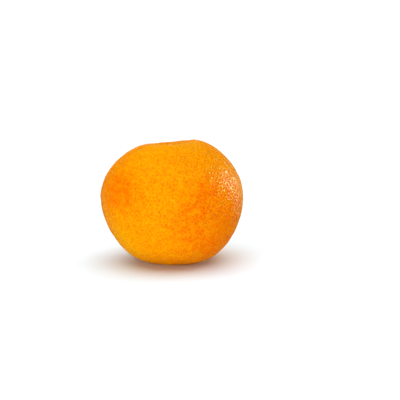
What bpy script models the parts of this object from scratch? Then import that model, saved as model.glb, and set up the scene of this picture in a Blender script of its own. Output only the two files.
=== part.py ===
"""A whole mandarin at its real size, resting on the small flat spot that its weight presses into the rind.

The fruit is one solid, with its stem end up and leaning a little. Its button is the calyx, five blunt green lobes in
the dip at the stem end, with the cut stub of the stem standing in it. Metres, +Z up, the floor at z = 0.
"""

import math
import random

import bmesh
import bpy
from mathutils import Euler, Vector, noise

MM = 0.001

# The body, in the fruit's own frame: the stem axis is +Z and the origin is the middle of the fruit.
EQUATOR_RADIUS = 30.7 * MM
STEM_HALF_HEIGHT = 26.5 * MM
BLOSSOM_HALF_HEIGHT = 26.9 * MM
STEM_SQUARENESS = 2.05  # 2 is an ellipsoid, and more makes the shoulders fuller
BLOSSOM_SQUARENESS = 2.35

# How the fruit has come to rest: the stem end leans back from the viewer at -Y and to the left.
LEAN_BACK = math.radians(6.5)
LEAN_LEFT = math.radians(3.5)
PRESSED_DEPTH = 0.5 * MM

# The stem end: a broad dip inside a low rim, with furrows that run out from the button.
DIP_DEPTH = 4.4 * MM
DIP_REACH = 8.0 * MM
RIM_HEIGHT = 0.4 * MM
RIM_RADIUS = 12.0 * MM
RIM_WIDTH = 5.0 * MM
FURROWS = 9
FURROW_DEPTH = 0.55 * MM
FURROW_RADIUS = 7.0 * MM
FURROW_WIDTH = 4.0 * MM

# The blossom end: a shallow dimple with the round scar where the flower's style fell off.
DIMPLE_DEPTH = 0.7 * MM
DIMPLE_REACH = 3.6 * MM
SCAR_HEIGHT = 0.35 * MM
SCAR_RADIUS = 1.1 * MM

# Broad swellings and hollows that keep the body from being a figure of revolution: turn from +X and height above the
# equator in degrees, how far the rind stands out, and the spread in degrees.
SWELLINGS = (
    (20.0, 60.0, 1.1 * MM, 26.0),
    (-40.0, 62.0, -0.5 * MM, 18.0),
    (60.0, 40.0, -0.5 * MM, 30.0),
    (178.0, 14.0, 0.7 * MM, 26.0),
    (95.0, -10.0, 0.6 * MM, 45.0),
    (180.0, -28.0, -1.6 * MM, 24.0),
    (0.0, -30.0, -1.3 * MM, 24.0),
    (180.0, -64.0, 0.5 * MM, 24.0),
    (-20.0, -64.0, 1.2 * MM, 26.0),
    (90.0, -64.0, -0.6 * MM, 28.0),
)
LUMP_HEIGHT = 0.22 * MM
LUMP_SPACING = 9.0 * MM

# The oil glands: a pit for each, more than twice as far apart as on a real rind.
GLANDS = 1500
GLAND_DEPTH = 0.3 * MM
GLAND_JITTER = 0.22  # of the spacing
STEM_CROWDING = 2.6  # how much closer the glands stand at the stem end
CROWDED_ANGLE = math.radians(24.0)
GOLDEN_ANGLE = math.pi * (3.0 - math.sqrt(5.0))
SEED = 7

# The button in the dip.
SEAT_RADIUS = 4.2 * MM
GAP = 0.3 * MM
CALYX_RADIUS = 2.95 * MM  # the mean, between the lobes' tips and the notches
LOBES = 5
LOBE_LENGTH = 0.3 * MM  # each way from the mean
CALYX_EDGE = 0.5 * MM
CALYX_CROWN = 0.7 * MM
CALYX_SEGMENTS = 60
STUB_RADIUS = 1.5 * MM
STUB_HEIGHT = 0.6 * MM
STUB_SEGMENTS = 24
SOCKET_RADIUS = STUB_RADIUS + GAP
SOCKET_DEPTH = 0.25 * MM
COLLAR_WIDTH = 0.3 * MM
CREASE_ANGLE = math.radians(50.0)


def clear_scene():
    for obj in list(bpy.data.objects):
        bpy.data.objects.remove(obj)


def principled(name, colour, roughness):
    material = bpy.data.materials.new(name)
    material.use_nodes = True
    shader = material.node_tree.nodes["Principled BSDF"]
    shader.inputs["Base Color"].default_value = (*colour, 1.0)
    shader.inputs["Roughness"].default_value = roughness
    shader.inputs["Metallic"].default_value = 0.0
    return material


def direction_at(turn, height):
    """The unit vector at a turn from +X and a height above the equator, both in degrees."""
    turn, height = math.radians(turn), math.radians(height)
    return Vector((math.cos(turn) * math.cos(height), math.sin(turn) * math.cos(height), math.sin(height)))


def bell(distance, width):
    return math.exp(-((distance / width) ** 2))


def swelling(direction):
    """How far the broad swellings lift the rind in this direction."""
    total = 0.0
    for turn, height, lift, spread in SWELLINGS:
        apart = direction.angle(direction_at(turn, height))
        total += lift * bell(apart, math.radians(spread))
    return total


def furrow(turn):
    """From 0 on the ridges to 1 along the furrows, which are unevenly spaced round the stem."""
    wander = 0.9 * math.sin(2.0 * turn + 0.6) + 0.5 * math.sin(3.0 * turn + 2.1)
    return (0.5 + 0.5 * math.cos(FURROWS * turn + wander)) ** 2


def rind_radius(direction):
    """From the middle of the fruit to the rind, without its glands."""
    across = math.hypot(direction.x, direction.y)
    stem_side = direction.z > 0.0
    half_height = STEM_HALF_HEIGHT if stem_side else BLOSSOM_HALF_HEIGHT
    squareness = STEM_SQUARENESS if stem_side else BLOSSOM_SQUARENESS
    sides = (across / EQUATOR_RADIUS) ** squareness
    ends = (abs(direction.z) / half_height) ** squareness
    radius = (sides + ends) ** (-1.0 / squareness)
    from_axis = radius * across
    radius += swelling(direction)
    radius += LUMP_HEIGHT * noise.noise(direction * (EQUATOR_RADIUS / LUMP_SPACING) * 2.0)
    if stem_side:
        turn = math.atan2(direction.y, direction.x)
        radius -= DIP_DEPTH * bell(from_axis, DIP_REACH)
        radius += RIM_HEIGHT * bell(from_axis - RIM_RADIUS, RIM_WIDTH)
        radius -= FURROW_DEPTH * furrow(turn) * bell(from_axis - FURROW_RADIUS, FURROW_WIDTH)
    else:
        radius -= DIMPLE_DEPTH * bell(from_axis, DIMPLE_REACH)
        radius += SCAR_HEIGHT * bell(from_axis, SCAR_RADIUS)
    return radius


def rind_point(direction, lift=0.0):
    return direction * (rind_radius(direction) + lift)


def gland_directions():
    """Unit vectors to the glands: a sunflower spiral from the stem end, closer near the stem, and shaken."""
    steps = 2000
    angles = [math.pi * step / steps for step in range(steps + 1)]
    running = [0.0]
    for angle in angles[1:]:
        crowding = 1.0 + (STEM_CROWDING - 1.0) * bell(angle, CROWDED_ANGLE)
        running.append(running[-1] + math.sin(angle) * crowding)
    spacing = math.sqrt(4.0 * math.pi / GLANDS)
    rng = random.Random(SEED)
    directions = []
    step = 0
    for index in range(GLANDS):
        share = (index + 0.5) / GLANDS * running[-1]
        while running[step + 1] < share:
            step += 1
        angle = angles[step]
        turn = index * GOLDEN_ANGLE
        crowding = 1.0 + (STEM_CROWDING - 1.0) * bell(angle, CROWDED_ANGLE)
        shake = GLAND_JITTER * spacing / math.sqrt(crowding)
        offset = Vector([rng.uniform(-shake, shake) for _ in range(3)])
        middle = Vector((math.sin(angle) * math.cos(turn), math.sin(angle) * math.sin(turn), math.cos(angle)))
        directions.append((middle + offset).normalized())
    return directions


def gland_lift(direction):
    """How far the middle of a gland lies below the rind round it. The seat of the button is smooth."""
    from_axis = EQUATOR_RADIUS * math.hypot(direction.x, direction.y)
    if direction.z > 0.0:
        return -GLAND_DEPTH * (1.0 - bell(from_axis, SEAT_RADIUS) ** 2)
    return -GLAND_DEPTH


def build_rind(bm, down, press_height):
    """A pit round each gland, whose corners are the middles of the triangles between neighbouring glands.

    What lies below the resting plane, at press_height along down, is pressed flat onto it.
    """
    lattice = bmesh.new()
    for direction in gland_directions():
        lattice.verts.new(direction)
    bmesh.ops.convex_hull(lattice, input=lattice.verts)
    bmesh.ops.triangulate(lattice, faces=lattice.faces)

    def place(direction, lift):
        point = rind_point(direction, lift)
        below = point.dot(down) - press_height
        return bm.verts.new(point - down * max(below, 0.0))

    middles = {vert: place(vert.co, gland_lift(vert.co)) for vert in lattice.verts}
    corners = {face: place(face.calc_center_median().normalized(), 0.0) for face in lattice.faces}
    for edge in lattice.edges:
        first, second = (corners[face] for face in edge.link_faces)
        for vert in edge.verts:
            bm.faces.new((middles[vert], first, second))
            first, second = second, first
        bm.edges.get((first, second)).smooth = False  # a crease between two pits
    lattice.free()
    bmesh.ops.recalc_face_normals(bm, faces=bm.faces)


def lowest(down):
    """How far the rind reaches along down, over a fine set of directions."""
    return max(rind_point(direction).dot(down) for direction in gland_directions())


def new_object(name, bm, material, parent):
    for face in bm.faces:
        face.smooth = True
    mesh = bpy.data.meshes.new(name)
    bm.to_mesh(mesh)
    bm.free()
    mesh.materials.append(material)
    obj = bpy.data.objects.new(name, mesh)
    bpy.context.scene.collection.objects.link(obj)
    obj.parent = parent
    return obj


def lathe(bm, rings, segments):
    """Closed skin through rings of points, each a function of the turn, with a middle point at both ends."""
    turns = [math.tau * step / segments for step in range(segments)]
    start, *middle, end = rings
    loops = [[bm.verts.new(ring(turn)) for turn in turns] for ring in middle]
    first, last = bm.verts.new(start(0.0)), bm.verts.new(end(0.0))
    for step in range(segments):
        after = (step + 1) % segments
        bm.faces.new((first, loops[0][after], loops[0][step]))
        bm.faces.new((last, loops[-1][step], loops[-1][after]))
        for upper, lower in zip(loops, loops[1:]):
            bm.faces.new((upper[step], upper[after], lower[after], lower[step]))
    bmesh.ops.recalc_face_normals(bm, faces=bm.faces)
    for edge in bm.edges:
        edge.smooth = edge.calc_face_angle() < CREASE_ANGLE


def calyx_edge(turn):
    """The calyx's outline: broad lobes with narrow notches between them."""
    lobe = abs(math.cos(0.5 * LOBES * turn)) ** 0.6
    uneven = 1.0 + 0.05 * math.sin(turn + 0.8) + 0.04 * math.sin(2.0 * turn + 2.0)
    return (CALYX_RADIUS + LOBE_LENGTH * (2.0 * lobe - 1.0)) * uneven


def calyx_rings(seat):
    """Rings from the middle of the socket out to the lobes, and back underneath, along the rind."""
    collar = SOCKET_RADIUS + COLLAR_WIDTH
    floor = GAP + CALYX_CROWN - SOCKET_DEPTH

    def ring(share, lift, inside=None):
        """share runs from the collar at 0 to the edge at 1, and inside gives a plain radius instead."""

        def point(turn):
            radius = collar + share * (calyx_edge(turn) - collar) if inside is None else inside
            direction = Vector((radius * math.cos(turn), radius * math.sin(turn), seat)).normalized()
            return rind_point(direction, lift) - Vector((0.0, 0.0, seat))

        return point

    return (
        ring(0.0, floor, inside=0.0),
        ring(0.0, floor, inside=SOCKET_RADIUS - 0.1 * MM),
        ring(0.0, GAP + CALYX_CROWN, inside=SOCKET_RADIUS),
        ring(0.0, GAP + CALYX_CROWN),
        ring(0.35, GAP + CALYX_EDGE + 0.15 * MM),
        ring(0.85, GAP + CALYX_EDGE),
        ring(1.0, GAP + 0.5 * CALYX_EDGE),
        ring(0.85, GAP),
        ring(0.0, GAP),
        ring(0.0, GAP, inside=0.0),
    )


def stub_rings():
    """The cut stem: a short round peg, worn at its edge, with its pith a little sunk."""

    def ring(radius, height):
        def point(turn):
            uneven = 1.0 + 0.04 * math.sin(2.0 * turn + 1.0) + 0.03 * math.sin(5.0 * turn)
            return Vector((radius * uneven * math.cos(turn), radius * uneven * math.sin(turn), height))

        return point

    return (
        ring(0.0, STUB_HEIGHT - 0.25 * MM),
        ring(0.35 * STUB_RADIUS, STUB_HEIGHT - 0.15 * MM),
        ring(0.7 * STUB_RADIUS, STUB_HEIGHT),
        ring(0.9 * STUB_RADIUS, STUB_HEIGHT - 0.08 * MM),
        ring(0.93 * STUB_RADIUS, 0.5 * STUB_HEIGHT),
        ring(0.88 * STUB_RADIUS, 0.0),
        ring(0.0, 0.0),
    )


def build_fruit(parent, down, press_height):
    bm = bmesh.new()
    build_rind(bm, down, press_height)
    return new_object("fruit", bm, principled("rind", (1.0, 0.31, 0.004), 0.42), parent)


def build_calyx(parent, seat):
    bm = bmesh.new()
    lathe(bm, calyx_rings(seat), CALYX_SEGMENTS)
    calyx = new_object("calyx", bm, principled("calyx_green", (0.16, 0.19, 0.03), 0.6), parent)
    calyx.location.z = seat
    return calyx


def build_stub(parent, seat):
    bm = bmesh.new()
    lathe(bm, stub_rings(), STUB_SEGMENTS)
    stub = new_object("stem_stub", bm, principled("cut_stem", (0.62, 0.5, 0.2), 0.75), parent)
    stub.location.z = seat + GAP + CALYX_CROWN - SOCKET_DEPTH + GAP
    return stub


def rest_on_floor(axis, fruit, press_height):
    """Puts the pressed spot on the floor and the middle of the fruit's box over the origin."""
    bpy.context.view_layer.update()
    corners = [fruit.matrix_world @ vert.co for vert in fruit.data.vertices]
    for place in (0, 1):
        values = [corner[place] for corner in corners]
        axis.location[place] = -0.5 * (min(values) + max(values))
    axis.location.z = press_height


def main():
    clear_scene()
    axis = bpy.data.objects.new("stem_axis", None)
    bpy.context.scene.collection.objects.link(axis)
    axis.rotation_euler = Euler((-LEAN_BACK, -LEAN_LEFT, 0.0))
    down = axis.rotation_euler.to_matrix().inverted() @ Vector((0.0, 0.0, -1.0))
    press_height = lowest(down) - PRESSED_DEPTH
    seat = rind_radius(Vector((0.0, 0.0, 1.0)))
    fruit = build_fruit(axis, down, press_height)
    build_calyx(axis, seat)
    build_stub(axis, seat)
    rest_on_floor(axis, fruit, press_height)


if __name__ == "__main__":
    main()
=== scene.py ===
"""The looks of a whole mandarin: a rind pitted with oil glands, its green calyx and the stem's cut stub.

The rind's form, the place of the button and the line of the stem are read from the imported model.
Lengths are in metres, and colours are linear red, green and blue.
"""

import math

import bmesh
import bpy
import numpy as np
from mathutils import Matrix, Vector, kdtree, noise

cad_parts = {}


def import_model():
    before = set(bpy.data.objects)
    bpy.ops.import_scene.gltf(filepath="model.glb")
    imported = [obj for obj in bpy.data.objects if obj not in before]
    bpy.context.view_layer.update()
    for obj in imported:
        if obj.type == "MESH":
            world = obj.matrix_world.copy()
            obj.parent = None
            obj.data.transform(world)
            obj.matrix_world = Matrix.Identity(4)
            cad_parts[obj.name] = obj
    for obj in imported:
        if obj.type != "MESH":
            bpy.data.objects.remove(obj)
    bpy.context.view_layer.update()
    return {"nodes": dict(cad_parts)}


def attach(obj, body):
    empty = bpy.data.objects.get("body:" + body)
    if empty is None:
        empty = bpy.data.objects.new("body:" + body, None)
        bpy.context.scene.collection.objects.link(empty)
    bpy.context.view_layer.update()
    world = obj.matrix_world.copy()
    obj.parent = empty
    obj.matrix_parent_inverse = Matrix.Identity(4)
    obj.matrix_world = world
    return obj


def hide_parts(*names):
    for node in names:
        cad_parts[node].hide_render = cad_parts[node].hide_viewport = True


MM = 0.001

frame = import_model()

# The smooth form under the glands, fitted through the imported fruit's vertices.
NEIGHBOURS = 26  # vertices in each fit
SMOOTHING = 1.6 * MM
ASKEW = (0.31, 0.52, 0.79)  # crossed with a direction, it gives one that lies across it

# The glands: each is a pit in the middle of a slightly raised cell.
GLANDS = 6500
GLAND_DEPTH = 0.2 * MM
DEPTH_RANGE = (0.45, 1.4)  # the shallowest and the deepest glands' share of that depth
LAND_HEIGHT = 0.1 * MM  # of the ridges between glands over the model's mean surface
# The pit's rings: how far out they lie on the way to its cell's corners, and their shares of its depth
# and of its darker colour, which is partly painted shade.
PIT_RINGS = ((0.45, 0.78, 0.8), (0.85, 0.12, 0.3))
GLAND_JITTER = 0.45  # of the spacing
STEM_CROWDING = 1.9  # how much denser the glands stand at the stem end
CROWDED_ANGLE = math.radians(22.0)
GOLDEN_ANGLE = math.pi * (3.0 - math.sqrt(5.0))
SPIRAL_STEPS = 4000
SEED = 11

# The rind's low relief: dimpling all over, a smooth seat for the button, and creases running out from it.
DIMPLING_HEIGHT = 0.09 * MM
DIMPLING_SPACING = 4.0 * MM
SEAT_RADIUS = 3.6 * MM
PUCKERS = 15
PUCKER_DEPTH = 0.5 * MM
PUCKER_RADIUS = 5.0 * MM  # of the ring where the creases are deepest
PUCKER_WIDTH = 3.2 * MM

# Where the rind is coloured deeper (above 0) or paler, partly its own uneven ripening and partly painted
# shade and painted light: turn from +X, height, strength and spread. The angles are in degrees.
FLUSHES_AND_PAINTED_SHADING = (
    (-139.0, 14.0, 0.9, 24.0),
    (-44.0, -4.0, 2.0, 32.0),
    (-140.0, -38.0, -0.7, 24.0),
    (-136.0, -18.0, -0.8, 16.0),
    (-100.0, -62.0, 0.1, 26.0),
    (-60.0, 66.0, -0.7, 22.0),
    (-132.0, 52.0, -0.6, 22.0),
    (2.0, 4.0, -0.9, 17.0),
    (50.0, 8.0, 0.7, 28.0),
    (120.0, 24.0, -0.5, 30.0),
    (95.0, -30.0, 0.8, 30.0),
    (160.0, -10.0, 0.4, 24.0),
)

# The rind's colours and gloss.
RIPE = (0.83, 0.25, 0.0004)
DEEP = (0.84, 0.155, 0.0003)
PALE = (0.81, 0.32, 0.0005)
# Partly the glands' own colour, partly painted light on the ridges and painted shade in the pits.
RIDGE_TINT_AND_PAINTED_LIGHT = (1.02, 1.15, 1.1)
GLAND_TINT_AND_PAINTED_SHADE = (0.91, 0.7, 0.72)
DARK_GLAND = (0.28, 0.07, 0.002)
DARK_TONES = (0.985, 0.995)  # the tones, of -1 to 1, at which a gland starts to be a dark one and is one
DULL_END = (0.68, 0.33, 0.008)
DULL_END_REACH = 6.5 * MM  # from the stem's line
# Painted shade: the creases round the button are coloured darker.
CREASE_SHADE = (0.62, 0.13, 0.002)
SCAR = (0.10, 0.045, 0.015)
SCAR_RADIUS = 1.3 * MM
WAX_ROUGHNESS = (0.04, 0.08)
GRAZING = (0.54, 0.7)  # how far the rind is turned away where its gloss starts to soften and is softest
GRAZING_ROUGHNESS = 0.36
WAX_IOR = 1.42

# The calyx: blunt ribbed lobes round a collar, with a socket for the stub.
LOBES = 5
CALYX_RADIUS = 2.95 * MM
LOBE_LENGTH = 0.32 * MM
RIB_HEIGHT = 0.1 * MM
RIB_WIDTH = 0.16  # as a sine that is 0 along a lobe's middle and 1 in the notches
SIDE_RIBS = 6  # in each lobe
SIDE_RIB_HEIGHT = 0.045 * MM
NOTCH_DEPTH = 0.16 * MM  # of the notches between lobes under the lobes' middles
# The lobes' profile: share of the way from the collar to the edge, and millimetres over the rind.
LOBE_PROFILE = (
    (0.0, 0.95), (0.12, 0.86), (0.25, 0.8), (0.4, 0.74), (0.55, 0.68),
    (0.7, 0.6), (0.82, 0.5), (0.91, 0.38), (0.97, 0.22), (1.0, 0.05),
)
COLLAR_RADIUS = 1.75 * MM
COLLAR_DROP = 0.12 * MM  # from the stub's top to the collar's
COLLAR_WAVE = 0.03 * MM  # of the ridges on the collar's crest
SOCKET_RADIUS = 1.5 * MM
SOCKET_TAPER = 0.9  # of its radius, at its bottom
SOCKET_BEVEL = 0.1 * MM
ROOT_DEPTH = 0.2 * MM  # of the calyx's underside, under the rind's smooth form
CALYX_SEGMENTS = 180
CALYX_GREENS = ((0.10, 0.135, 0.02), (0.20, 0.215, 0.035))
CALYX_RIB = (0.34, 0.33, 0.09)
CALYX_COLLAR = (0.42, 0.38, 0.12)
CALYX_DRY = (0.17, 0.085, 0.028)
CALYX_SPOT = (0.09, 0.05, 0.018)

# The stub: a sunken pith, wood with rays, and a bark that flares into the calyx.
STUB_RADIUS = 1.42 * MM
PITH_DEPTH = 0.2 * MM
STUB_RAYS = 17
# The stub's profile: share of its radius, and height over its top and of its rays in millimetres.
STUB_PROFILE = (
    (0.12, -0.19, 0.0), (0.26, -0.12, 0.01), (0.4, -0.05, 0.02), (0.52, -0.04, 0.03), (0.64, -0.01, 0.03),
    (0.76, -0.03, 0.03), (0.84, 0.0, 0.02), (0.92, -0.02, 0.0), (0.96, -0.08, 0.0), (0.95, -0.2, 0.0),
    (0.99, -0.35, 0.0), (1.06, -0.48, 0.0),
)
STUB_SEGMENTS = 96
WOODS = ((0.50, 0.39, 0.15), (0.68, 0.56, 0.27))
WOOD_RAY = (0.42, 0.30, 0.11)
PITH = (0.24, 0.14, 0.05)
BARK = (0.17, 0.15, 0.04)

# The camera, in front of the fruit and slightly above it. Its lens and sensor are in millimetres.
CAMERA_PLACE = Vector((12.1, -704.0, 167.0)) * MM
CAMERA_PITCH = math.radians(11.27)
LENS = 150.0
SENSOR = 36.0
NEAREST = 0.05
FURTHEST = 50.0

# The room.
FLOOR_SIZE = 12.0
FLOOR_WHITES = ((0.795, 0.885, 0.925), (0.80, 0.89, 0.93))
BACKDROP_STRENGTH = 1.1
GLINT_COLOUR = (1.0, 0.92, 0.48)
# Far soft lights: azimuth, elevation and width in degrees, and strength.
SOFT_LIGHTS = {
    "top": (0.0, 88.0, 90.0, 3.45),
    "key": (-34.0, 13.0, 34.0, 1.5),
    "fill": (128.0, 8.0, 40.0, 1.45),
    "bounce": (0.0, -18.0, 50.0, 1.2),
    "back": (178.0, 2.0, 80.0, 0.9),
}
# Panels that show as glints: azimuth and elevation in degrees, distance, width and height, and watts.
GLINT_PANELS = {
    "side_lamp": (112.0, 19.0, 1.2, (0.15, 0.5), 4.6),
    "side_strip": (84.0, 16.0, 1.2, (0.08, 0.3), 0.9),
    "right_edge": (127.0, 6.0, 1.2, (0.08, 0.7), 1.7),
    "left_edge": (220.0, -6.0, 1.5, (0.5, 1.0), 0.25),
    "rim": (180.0, -3.0, 1.5, (0.8, 0.8), 3.6),
}


def unit(points):
    """The points, each scaled to a length of 1."""
    return points / np.linalg.norm(points, axis=-1, keepdims=True)


def bell(distance, width):
    """1 at no distance, falling smoothly towards 0 past the width."""
    return np.exp(-((distance / width) ** 2))


def node_points(name):
    """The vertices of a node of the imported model."""
    return np.array([vert.co for vert in frame["nodes"][name].data.vertices])


class Form:
    """The smooth form under the glands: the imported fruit's radius in every direction from its middle."""

    def __init__(self):
        places = np.unique(node_points("fruit").round(7), axis=0)
        self.middle = (places.min(axis=0) + places.max(axis=0)) / 2
        self.radii = np.linalg.norm(places - self.middle, axis=1)
        self.directions = unit(places - self.middle)
        self.size = self.radii.mean()
        self.tree = kdtree.KDTree(len(places))
        for index, direction in enumerate(self.directions):
            self.tree.insert(direction, index)
        self.tree.balance()

    def radius(self, directions):
        """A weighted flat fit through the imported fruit's nearest vertices, for each direction."""
        near = np.array([[index for _, index, _ in self.tree.find_n(d, NEIGHBOURS)] for d in directions])
        offsets = self.directions[near] - directions[:, None, :]
        weights = np.exp(-(offsets**2).sum(-1) * (self.size / SMOOTHING) ** 2)
        side = unit(np.cross(directions, ASKEW))
        across = np.stack([side, np.cross(directions, side)], axis=1)
        flat = np.einsum("nkc,nac->nka", offsets, across)
        terms = np.concatenate([np.ones(flat.shape[:2] + (1,)), flat * self.size], axis=-1)
        weighted = terms * weights[..., None]
        matrix = np.einsum("nka,nkb->nab", weighted, terms)
        target = np.einsum("nka,nk->na", weighted, self.radii[near])
        return np.linalg.solve(matrix, target[..., None])[:, 0, 0]

    def point(self, directions, lift=0.0):
        """Points on the form, raised by lift, and never below the floor."""
        points = self.middle + directions * (self.radius(directions) + lift)[:, None]
        points[:, 2] = np.maximum(points[:, 2], 0.0)
        return points


class Stem:
    """The stem's line: its axis is the stub's thinnest direction, and side and ahead lie across it."""

    def __init__(self):
        places = node_points("stem_stub")
        self.middle = places.mean(axis=0)
        self.axis = np.linalg.svd(places - self.middle)[2][-1]
        self.axis *= np.sign(self.axis[2])
        self.side = unit(np.cross((0.0, 1.0, 0.0), self.axis))
        self.ahead = np.cross(self.axis, self.side)
        heights = (places - self.middle) @ self.axis
        self.bottom, self.top = heights.min(), heights.max()

    def point(self, radius, turn, height):
        """Points at a radius from the line, a turn round it, and a height over the stub's middle."""
        outward = np.cos(turn)[..., None] * self.side + np.sin(turn)[..., None] * self.ahead
        radius, height = np.asarray(radius)[..., None], np.asarray(height)[..., None]
        return self.middle + radius * outward + height * self.axis

    def distance(self, points):
        """How far points lie from the line."""
        away = points - self.middle
        return np.linalg.norm(away - (away @ self.axis)[..., None] * self.axis, axis=-1)

    def turn(self, points):
        """The turn round the line at which points lie."""
        away = points - self.middle
        return np.arctan2(away @ self.ahead, away @ self.side)


form = Form()
stem = Stem()


def patchy_noise(points, spacing):
    """Smooth noise from -1 to 1 at points, whose patches are a spacing apart."""
    return np.array([noise.noise(Vector(point) / spacing) for point in points])


def gland_directions():
    """Unit vectors to the glands: a shaken sunflower spiral round the stem, closer near the stem."""
    angles = np.linspace(0.0, math.pi, SPIRAL_STEPS)
    crowding = 1.0 + (STEM_CROWDING - 1.0) * bell(angles, CROWDED_ANGLE)
    running = np.cumsum(np.sin(angles) * crowding)
    shares = (np.arange(GLANDS) + 0.5) / GLANDS * running[-1]
    angle = np.interp(shares, running, angles)
    turn = np.arange(GLANDS) * GOLDEN_ANGLE
    spacing = math.sqrt(4.0 * math.pi / GLANDS)
    rng = np.random.default_rng(SEED)
    shake = GLAND_JITTER * spacing / np.sqrt(np.interp(angle, angles, crowding))
    local = np.stack([np.sin(angle) * np.cos(turn), np.sin(angle) * np.sin(turn), np.cos(angle)], axis=1)
    local += rng.uniform(-1.0, 1.0, local.shape) * shake[:, None]
    return unit(local) @ np.stack([stem.side, stem.ahead, stem.axis])


def gland_cells(directions):
    """The glands, the corners of their cells, and each pair of neighbours, from the directions' hull.

    A pair is its two glands and the two corners between them.
    """
    lattice = bmesh.new()
    for direction in directions:
        lattice.verts.new(direction)
    bmesh.ops.convex_hull(lattice, input=lattice.verts)
    bmesh.ops.triangulate(lattice, faces=lattice.faces)
    lattice.verts.index_update()
    lattice.faces.index_update()
    glands = np.array([vert.co for vert in lattice.verts])
    corners = unit(np.array([face.calc_center_median() for face in lattice.faces]))
    pairs = []
    for edge in lattice.edges:
        loop = edge.link_loops[0]
        left, right = loop.face.index, loop.link_loop_radial_next.face.index
        pairs.append((loop.vert.index, loop.link_loop_next.vert.index, left, right))
    lattice.free()
    return glands, corners, pairs


def flush_and_painted_shading(directions):
    """Deeper or paler than the ripe orange, from broad flushes that are partly painted shade and light."""
    total = np.zeros(len(directions))
    for turn, height, strength, spread in FLUSHES_AND_PAINTED_SHADING:
        turn, height = math.radians(turn), math.radians(height)
        middle = (math.cos(turn) * math.cos(height), math.sin(turn) * math.cos(height), math.sin(height))
        apart = np.arccos(np.clip(directions @ np.array(middle), -1.0, 1.0))
        total += strength * bell(apart, math.radians(spread))
    return total


def pucker(turn):
    """From 0 between the creases round the button to 1 along them: they are unevenly deep and spaced."""
    wander = 0.9 * np.sin(turn + 0.5) + 0.5 * np.sin(3.0 * turn)
    return (0.5 + 0.5 * np.cos(PUCKERS * turn + wander)) ** 2 * (0.7 + 0.3 * np.sin(4.0 * turn + 1.0))


def rind_mesh():
    """The rind: rings of vertices down each gland's pit, ridges between the pits, and the low relief."""
    glands, corners, pairs = gland_cells(gland_directions())

    # A sector is a gland and two neighbouring corners of its cell. A spoke is a gland and one corner.
    sectors = []
    for one, other, left, right in pairs:
        sectors += [(one, right, left), (other, left, right)]
    spokes = {}
    for gland, first, second in sectors:
        spokes.setdefault((gland, first), len(spokes))
        spokes.setdefault((gland, second), len(spokes))

    # The vertices are the glands, then the corners, then each ring's points on all the spokes.
    owners, ends = np.array(list(spokes)).T
    shares, ring_depths, ring_colour_and_shade_shares = np.array(PIT_RINGS).T
    rings = [glands[owners] * (1.0 - share) + corners[ends] * share for share in shares]
    directions = unit(np.concatenate([glands, corners, *rings]))

    def line(gland, corner):
        """The vertices from the middle of a pit to a corner of its cell."""
        inner = len(glands) + len(corners) + spokes[gland, corner]
        return [gland, *range(inner, inner + len(rings) * len(spokes), len(spokes)), len(glands) + corner]

    faces = []
    for gland, first, second in sectors:
        middle, *one = line(gland, first)
        other = line(gland, second)[1:]
        faces.append((middle, one[0], other[0]))
        faces += [(one[n], one[n + 1], other[n + 1], other[n]) for n in range(len(rings))]

    rng = np.random.default_rng(SEED)
    depths = GLAND_DEPTH * rng.uniform(*DEPTH_RANGE, len(glands))
    tones = rng.uniform(-1.0, 1.0, len(glands))
    none = np.zeros(len(corners))

    def by_gland(values, ring_shares):
        """Values of the glands, spread to all vertices: none at the corners, and a share at each ring."""
        return np.concatenate([values, none, *(share * values[owners] for share in ring_shares)])

    # The button and its creases are on the stem's side of the fruit, and the scar is on the other side.
    on_form = form.point(directions)
    stem_side = directions @ stem.axis > 0.0
    from_line = stem.distance(on_form)
    from_button = np.where(stem_side, from_line, np.inf)
    from_scar = np.where(stem_side, np.inf, from_line)
    seat = 1.0 - bell(from_button, SEAT_RADIUS) ** 2
    creases = pucker(stem.turn(on_form)) * bell(from_button - PUCKER_RADIUS, PUCKER_WIDTH)
    lift = LAND_HEIGHT - seat * by_gland(depths, ring_depths)
    lift += DIMPLING_HEIGHT * patchy_noise(on_form, DIMPLING_SPACING)
    lift -= PUCKER_DEPTH * creases

    mesh = bpy.data.meshes.new("rind")
    mesh.from_pydata(form.point(directions, lift).tolist(), [], faces)
    mesh.validate()
    mesh.shade_smooth()
    put_attribute(mesh, "gland", by_gland(np.ones(len(glands)), ring_colour_and_shade_shares))
    put_attribute(mesh, "tone", by_gland(tones, np.ones(len(rings))))
    # The flushes are partly painted shade and painted light.
    put_attribute(mesh, "flush_and_painted_shading", flush_and_painted_shading(directions))
    # Painted shade along the creases round the button.
    put_attribute(mesh, "painted_crease_shade", creases)
    put_attribute(mesh, "stem_end", bell(from_button, DULL_END_REACH))
    put_attribute(mesh, "scar", bell(from_scar, SCAR_RADIUS))
    return mesh


def put_attribute(mesh, name, values):
    """Gives a mesh a value at each vertex, which its material reads by name."""
    mesh.attributes.new(name, "FLOAT", "POINT").data.foreach_set("value", values.astype(np.float32))


def turned_mesh(name, rings):
    """A closed skin through rings of points, from a single point to a single point."""
    start, *loops, end = rings
    count = len(loops[0])
    points = [start, *(point for loop in loops for point in loop), end]
    last = 1 + (len(loops) - 1) * count
    faces = []
    for step in range(count):
        after = (step + 1) % count
        faces.append((0, 1 + step, 1 + after))
        for upper in range(1, last, count):
            lower = upper + count
            faces.append((upper + step, lower + step, lower + after, upper + after))
        faces.append((len(points) - 1, last + after, last + step))
    mesh = bpy.data.meshes.new(name)
    mesh.from_pydata([tuple(point) for point in points], [], faces)
    mesh.validate()
    mesh.shade_smooth()
    return mesh


def place(name, mesh, material, node):
    """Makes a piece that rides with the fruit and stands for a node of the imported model."""
    piece = bpy.data.objects.new(name, mesh)
    bpy.context.scene.collection.objects.link(piece)
    mesh.materials.append(material)
    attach(piece, "root")
    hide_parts(node)


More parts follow.
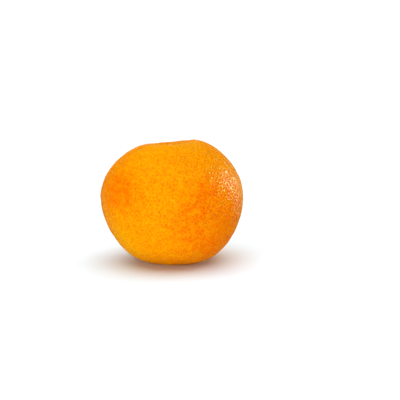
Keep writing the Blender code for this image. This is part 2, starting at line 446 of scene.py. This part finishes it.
def lobe(turn):
    """From 0 in the notches between the calyx's lobes to 1 along the lobes' middles."""
    return np.abs(np.cos(0.5 * LOBES * turn))


def lobe_edge(turn):
    """The calyx's outline: broad lobes with narrow notches between them, a little ragged."""
    uneven = 1.0 + 0.05 * np.sin(turn + 0.8) + 0.04 * np.sin(2.0 * turn + 2.0)
    ragged = 0.012 * np.sin(23.0 * turn + 1.0) + 0.01 * np.sin(41.0 * turn)
    return (CALYX_RADIUS + LOBE_LENGTH * (2.0 * lobe(turn) ** 0.6 - 1.0)) * (uneven + ragged)


def middle_rib(turn):
    """1 along the rib in the middle of each lobe, falling off to both sides."""
    return bell(np.sin(0.5 * LOBES * turn), RIB_WIDTH)


def calyx_mesh():
    """From the socket's middle over the collar, out along the ribbed lobes, and back under the rind."""
    turn = np.linspace(0.0, math.tau, CALYX_SEGMENTS, endpoint=False)
    edge = lobe_edge(turn)
    side_ribs = 0.5 + 0.5 * np.cos(SIDE_RIBS * LOBES * turn + 0.7 * np.sin(turn))
    relief = RIB_HEIGHT * middle_rib(turn) + SIDE_RIB_HEIGHT * (side_ribs - 0.5)
    relief -= NOTCH_DEPTH * (1.0 - lobe(turn))

    def on_rind(radius, lift):
        """A ring at a radius from the stem's line, raised by lift from the rind's smooth form."""
        return form.point(unit(stem.point(radius, turn, 0.0) - form.middle), lift)

    collar_top = stem.top - COLLAR_DROP
    crest = SOCKET_RADIUS + 0.35 * (COLLAR_RADIUS - SOCKET_RADIUS)
    rings = [
        stem.point(0.0, 0.0, stem.bottom),
        stem.point(SOCKET_TAPER * SOCKET_RADIUS, turn, stem.bottom),
        stem.point(SOCKET_RADIUS, turn, collar_top - SOCKET_BEVEL),
        stem.point(crest, turn, collar_top + COLLAR_WAVE * side_ribs),
    ]
    for share, height in LOBE_PROFILE:
        radius = COLLAR_RADIUS + share * (edge - COLLAR_RADIUS)
        spread = math.sin(math.pi * min(share, 0.95))
        rings.append(on_rind(radius, height * MM + spread * relief))
    rings += [
        on_rind(0.97 * edge, -0.75 * ROOT_DEPTH),
        on_rind(0.6 * edge, -ROOT_DEPTH),
        form.point(unit(stem.middle - form.middle)[None], -ROOT_DEPTH)[0],
    ]

    mesh = turned_mesh("calyx", rings)
    points = np.array([vert.co for vert in mesh.vertices])
    turns = stem.turn(points)
    past_collar = stem.distance(points) - COLLAR_RADIUS
    put_attribute(mesh, "out", past_collar / (lobe_edge(turns) - COLLAR_RADIUS))
    put_attribute(mesh, "rib", middle_rib(turns))
    return mesh


def stub_mesh():
    """The cut stem: a short peg, flared into the calyx, with its bark, its wood and its sunken pith."""
    turn = np.linspace(0.0, math.tau, STUB_SEGMENTS, endpoint=False)
    radius = STUB_RADIUS * (1.0 + 0.04 * np.sin(2.0 * turn + 1.0) + 0.03 * np.sin(5.0 * turn))
    rays = 0.5 + 0.5 * np.cos(STUB_RAYS * turn + np.sin(2.0 * turn))
    rings = [stem.point(0.0, 0.0, stem.top - PITH_DEPTH)]
    for share, height, ray in STUB_PROFILE:
        rings.append(stem.point(share * radius, turn, stem.top + (height + ray * rays) * MM))
    rings.append(stem.point(radius, turn, stem.bottom))
    rings.append(stem.point(0.0, 0.0, stem.bottom))

    mesh = turned_mesh("stem_stub", rings)
    points = np.array([vert.co for vert in mesh.vertices])
    put_attribute(mesh, "out", stem.distance(points) / STUB_RADIUS)
    put_attribute(mesh, "ray", np.concatenate([[0.5], np.tile(rays, len(rings) - 2), [0.5]]))
    return mesh


class Nodes:
    """Short calls for building a material's nodes."""

    def __init__(self, name):
        self.material = bpy.data.materials.new(name)
        self.material.use_nodes = True
        self.tree = self.material.node_tree
        self.shader = self.tree.nodes["Principled BSDF"]
        self.place = self.add("ShaderNodeTexCoord").outputs["Object"]

    def add(self, kind, **settings):
        node = self.tree.nodes.new(kind)
        for key, value in settings.items():
            setattr(node, key, value)
        return node

    def link(self, output, socket):
        self.tree.links.new(output, socket)

    def feed(self, socket, value):
        """Sets a socket to a number, or links it to a node's output."""
        if isinstance(value, bpy.types.NodeSocket):
            self.link(value, socket)
        else:
            socket.default_value = value

    def noise(self, scale, detail=2.0, roughness=0.5):
        """Noise whose scale is in patches per metre."""
        node = self.add("ShaderNodeTexNoise")
        self.link(self.place, node.inputs["Vector"])
        node.inputs["Scale"].default_value = scale
        node.inputs["Detail"].default_value = detail
        node.inputs["Roughness"].default_value = roughness
        return node.outputs["Fac"]

    def attribute(self, name):
        """A value that the mesh holds at each vertex."""
        return self.add("ShaderNodeAttribute", attribute_name=name).outputs["Fac"]

    def remap(self, value, low, high, to_low=0.0, to_high=1.0):
        """Takes low to to_low and high to to_high, smoothly and never past them."""
        node = self.add("ShaderNodeMapRange", interpolation_type="SMOOTHSTEP")
        for socket, number in zip(node.inputs, (value, low, high, to_low, to_high)):
            self.feed(socket, number)
        return node.outputs["Result"]

    def math(self, operation, first, second):
        node = self.add("ShaderNodeMath", operation=operation)
        self.feed(node.inputs[0], first)
        self.feed(node.inputs[1], second)
        return node.outputs[0]

    def mix(self, share, first, second, blend="MIX"):
        """Mixes two colours, given as sockets or as (red, green, blue)."""
        node = self.add("ShaderNodeMix", data_type="RGBA", blend_type=blend)
        self.feed(node.inputs["Factor"], share)
        colours = [socket for socket in node.inputs if socket.type == "RGBA"]
        for socket, colour in zip(colours, (first, second)):
            self.feed(socket, colour if isinstance(colour, bpy.types.NodeSocket) else (*colour, 1.0))
        return next(socket for socket in node.outputs if socket.type == "RGBA")

    def mark(self, colour, where, strength, over):
        """Lays a colour over another, as far as where and the strength say."""
        return self.mix(self.math("MULTIPLY", where, strength), colour, over)

    def wander(self, scale, strength):
        """Noise round 0, to make an edge uneven."""
        return self.math("MULTIPLY", self.math("SUBTRACT", self.noise(scale), 0.5), strength)

    def bump(self, height, distance, strength):
        node = self.add("ShaderNodeBump")
        node.inputs["Strength"].default_value = strength
        node.inputs["Distance"].default_value = distance
        self.link(height, node.inputs["Height"])
        return node.outputs["Normal"]

    def finish(self, colour, roughness, normal=None):
        """Feeds the shader, and gives the finished material."""
        self.link(colour, self.shader.inputs["Base Color"])
        self.feed(self.shader.inputs["Roughness"], roughness)
        if normal is not None:
            self.link(normal, self.shader.inputs["Normal"])
        return self.material


def rind_material():
    """Waxy orange skin: deeper and paler flushes, partly painted shade and light; a net lighter on the
    ridges and darker in the pits, partly painted light and shade; painted shade in the creases; a few dark
    glands.

    Its gloss softens where the rind is seen at a grazing angle.
    """
    nodes = Nodes("rind")
    # Flushes, partly painted shade and painted light, make parts of the ripe orange deeper or paler.
    flush_and_shading = nodes.math("ADD", nodes.attribute("flush_and_painted_shading"), nodes.wander(70.0, 1.1))
    colour = nodes.mix(nodes.remap(flush_and_shading, 0.0, 1.0), RIPE, DEEP)
    colour = nodes.mix(nodes.remap(nodes.math("MULTIPLY", flush_and_shading, -1.0), 0.0, 1.0), colour, PALE)
    mottle = nodes.remap(nodes.noise(420.0, 3.0, 0.6), 0.35, 0.7)
    colour = nodes.mark(colour, mottle, 0.55, PALE)

    # Darker pits and lighter ridges: partly the glands' colour, partly painted shade and painted light.
    gland = nodes.attribute("gland")
    tone = nodes.attribute("tone")
    darkness = nodes.math("MULTIPLY", gland, nodes.remap(tone, -1.0, 1.0, 0.45, 1.0))
    patchy = nodes.remap(nodes.noise(1000.0, 2.0, 0.6), 0.35, 0.65, -0.5, 0.5)
    net = nodes.mix(nodes.math("ADD", darkness, patchy), RIDGE_TINT_AND_PAINTED_LIGHT, GLAND_TINT_AND_PAINTED_SHADE)
    colour = nodes.mix(1.0, colour, net, "MULTIPLY")
    dark = nodes.math("MULTIPLY", nodes.remap(tone, *DARK_TONES), gland)
    colour = nodes.mark(colour, dark, 0.22, DARK_GLAND)
    colour = nodes.mark(colour, nodes.attribute("stem_end"), 0.6, DULL_END)
    # Painted shade: the creases round the button are coloured darker.
    colour = nodes.mark(colour, nodes.attribute("painted_crease_shade"), 0.9, CREASE_SHADE)
    colour = nodes.mix(nodes.attribute("scar"), colour, SCAR)

    waxy = nodes.remap(nodes.noise(900.0), 0.3, 0.7, *WAX_ROUGHNESS)
    facing = nodes.add("ShaderNodeLayerWeight").outputs["Facing"]
    roughness = nodes.math("ADD", waxy, nodes.remap(facing, *GRAZING, 0.0, GRAZING_ROUGHNESS))
    nodes.shader.inputs["IOR"].default_value = WAX_IOR
    return nodes.finish(colour, roughness, nodes.bump(nodes.noise(2600.0), 0.012 * MM, 0.25))


def calyx_material():
    """Dull olive lobes, paler along their ribs and at the collar, dry and brown at their edges."""
    nodes = Nodes("calyx")
    out = nodes.attribute("out")
    colour = nodes.mix(nodes.remap(nodes.noise(900.0, 3.0), 0.35, 0.65), *CALYX_GREENS)
    colour = nodes.mark(colour, nodes.attribute("rib"), 0.7, CALYX_RIB)
    colour = nodes.mix(nodes.remap(out, 0.2, -0.4), colour, CALYX_COLLAR)
    dry = nodes.math("ADD", out, nodes.wander(1500.0, 0.9))
    colour = nodes.mix(nodes.remap(dry, 0.55, 0.95), colour, CALYX_DRY)
    spots = nodes.remap(nodes.noise(2600.0), 0.58, 0.68)
    colour = nodes.mark(colour, spots, 0.6, CALYX_SPOT)
    normal = nodes.bump(nodes.noise(3600.0, 3.0, 0.6), 0.06 * MM, 0.9)
    return nodes.finish(colour, nodes.remap(nodes.noise(1800.0), 0.3, 0.7, 0.5, 0.7), normal)


def stub_material():
    """Dry cut wood: a brown pith, straw-coloured wood with rays, and a green-brown bark round it."""
    nodes = Nodes("cut_stem")
    out = nodes.attribute("out")
    fibre = nodes.noise(5200.0, 3.0, 0.6)
    colour = nodes.mix(nodes.remap(fibre, 0.3, 0.7), *WOODS)
    colour = nodes.mark(colour, nodes.attribute("ray"), 0.4, WOOD_RAY)
    colour = nodes.mix(nodes.remap(out, 0.34, 0.12), colour, PITH)
    colour = nodes.mix(nodes.remap(out, 0.8, 0.94), colour, BARK)
    normal = nodes.bump(fibre, 0.04 * MM, 0.9)
    return nodes.finish(colour, nodes.remap(fibre, 0.3, 0.7, 0.65, 0.85), normal)


def floor():
    """A plain pale floor, which takes the fruit's shadow and lets light from below it reach the fruit."""
    bpy.ops.mesh.primitive_plane_add(size=FLOOR_SIZE)
    plane = bpy.context.object
    plane.name = "floor"
    nodes = Nodes("floor")
    nodes.shader.inputs["Specular IOR Level"].default_value = 0.0
    plane.data.materials.append(nodes.finish(nodes.mix(nodes.noise(3.0), *FLOOR_WHITES), 0.9))
    plane.visible_glossy = False
    plane.visible_shadow = False


def world():
    """A white surround that the camera sees, but that lights nothing."""
    backdrop = bpy.data.worlds.new("white")
    backdrop.use_nodes = True
    background = backdrop.node_tree.nodes["Background"]
    background.inputs["Color"].default_value = (1.0, 1.0, 1.0, 1.0)
    background.inputs["Strength"].default_value = BACKDROP_STRENGTH
    backdrop.cycles_visibility.diffuse = False
    backdrop.cycles_visibility.glossy = False
    bpy.context.scene.world = backdrop


def aim(name, data, azimuth, elevation, distance=1.0):
    """Puts a light at an azimuth, from the viewer round to the right, and an elevation, in degrees."""
    turn, rise = math.radians(azimuth), math.radians(elevation)
    away = Vector((math.sin(turn) * math.cos(rise), -math.cos(turn) * math.cos(rise), math.sin(rise)))
    lamp = bpy.data.objects.new(name, data)
    lamp.location = Vector(form.middle) + away * distance
    lamp.rotation_euler = (-away).to_track_quat("-Z", "Y").to_euler()
    bpy.context.scene.collection.objects.link(lamp)
    return lamp


def soft_light(name, azimuth, elevation, width, strength):
    """A far light that is width degrees wide. It shades, and leaves no highlight."""
    data = bpy.data.lights.new(name, "SUN")
    data.angle = math.radians(width)
    data.energy = strength
    aim(name, data, azimuth, elevation).visible_glossy = False


def glint_panel(name, azimuth, elevation, distance, size, power):
    """A panel that shows only as highlights."""
    data = bpy.data.lights.new(name, "AREA")
    data.shape = "RECTANGLE"
    data.size, data.size_y = size
    data.color = GLINT_COLOUR
    data.energy = power
    aim(name, data, azimuth, elevation, distance).visible_diffuse = False


def lights():
    for name, settings in SOFT_LIGHTS.items():
        soft_light(name, *settings)
    for name, settings in GLINT_PANELS.items():
        glint_panel(name, *settings)


def camera():
    data = bpy.data.cameras.new("camera")
    data.lens = LENS
    data.sensor_width = SENSOR
    data.clip_start = NEAREST
    data.clip_end = FURTHEST
    shooter = bpy.data.objects.new("camera", data)
    shooter.location = CAMERA_PLACE
    shooter.rotation_euler = (math.pi / 2 - CAMERA_PITCH, 0.0, 0.0)
    bpy.context.scene.collection.objects.link(shooter)
    bpy.context.scene.camera = shooter


place("rind", rind_mesh(), rind_material(), "fruit")
place("button_calyx", calyx_mesh(), calyx_material(), "calyx")
place("button_stub", stub_mesh(), stub_material(), "stem_stub")
floor()
world()
lights()
camera()
bpy.context.scene.view_settings.view_transform = "Standard"
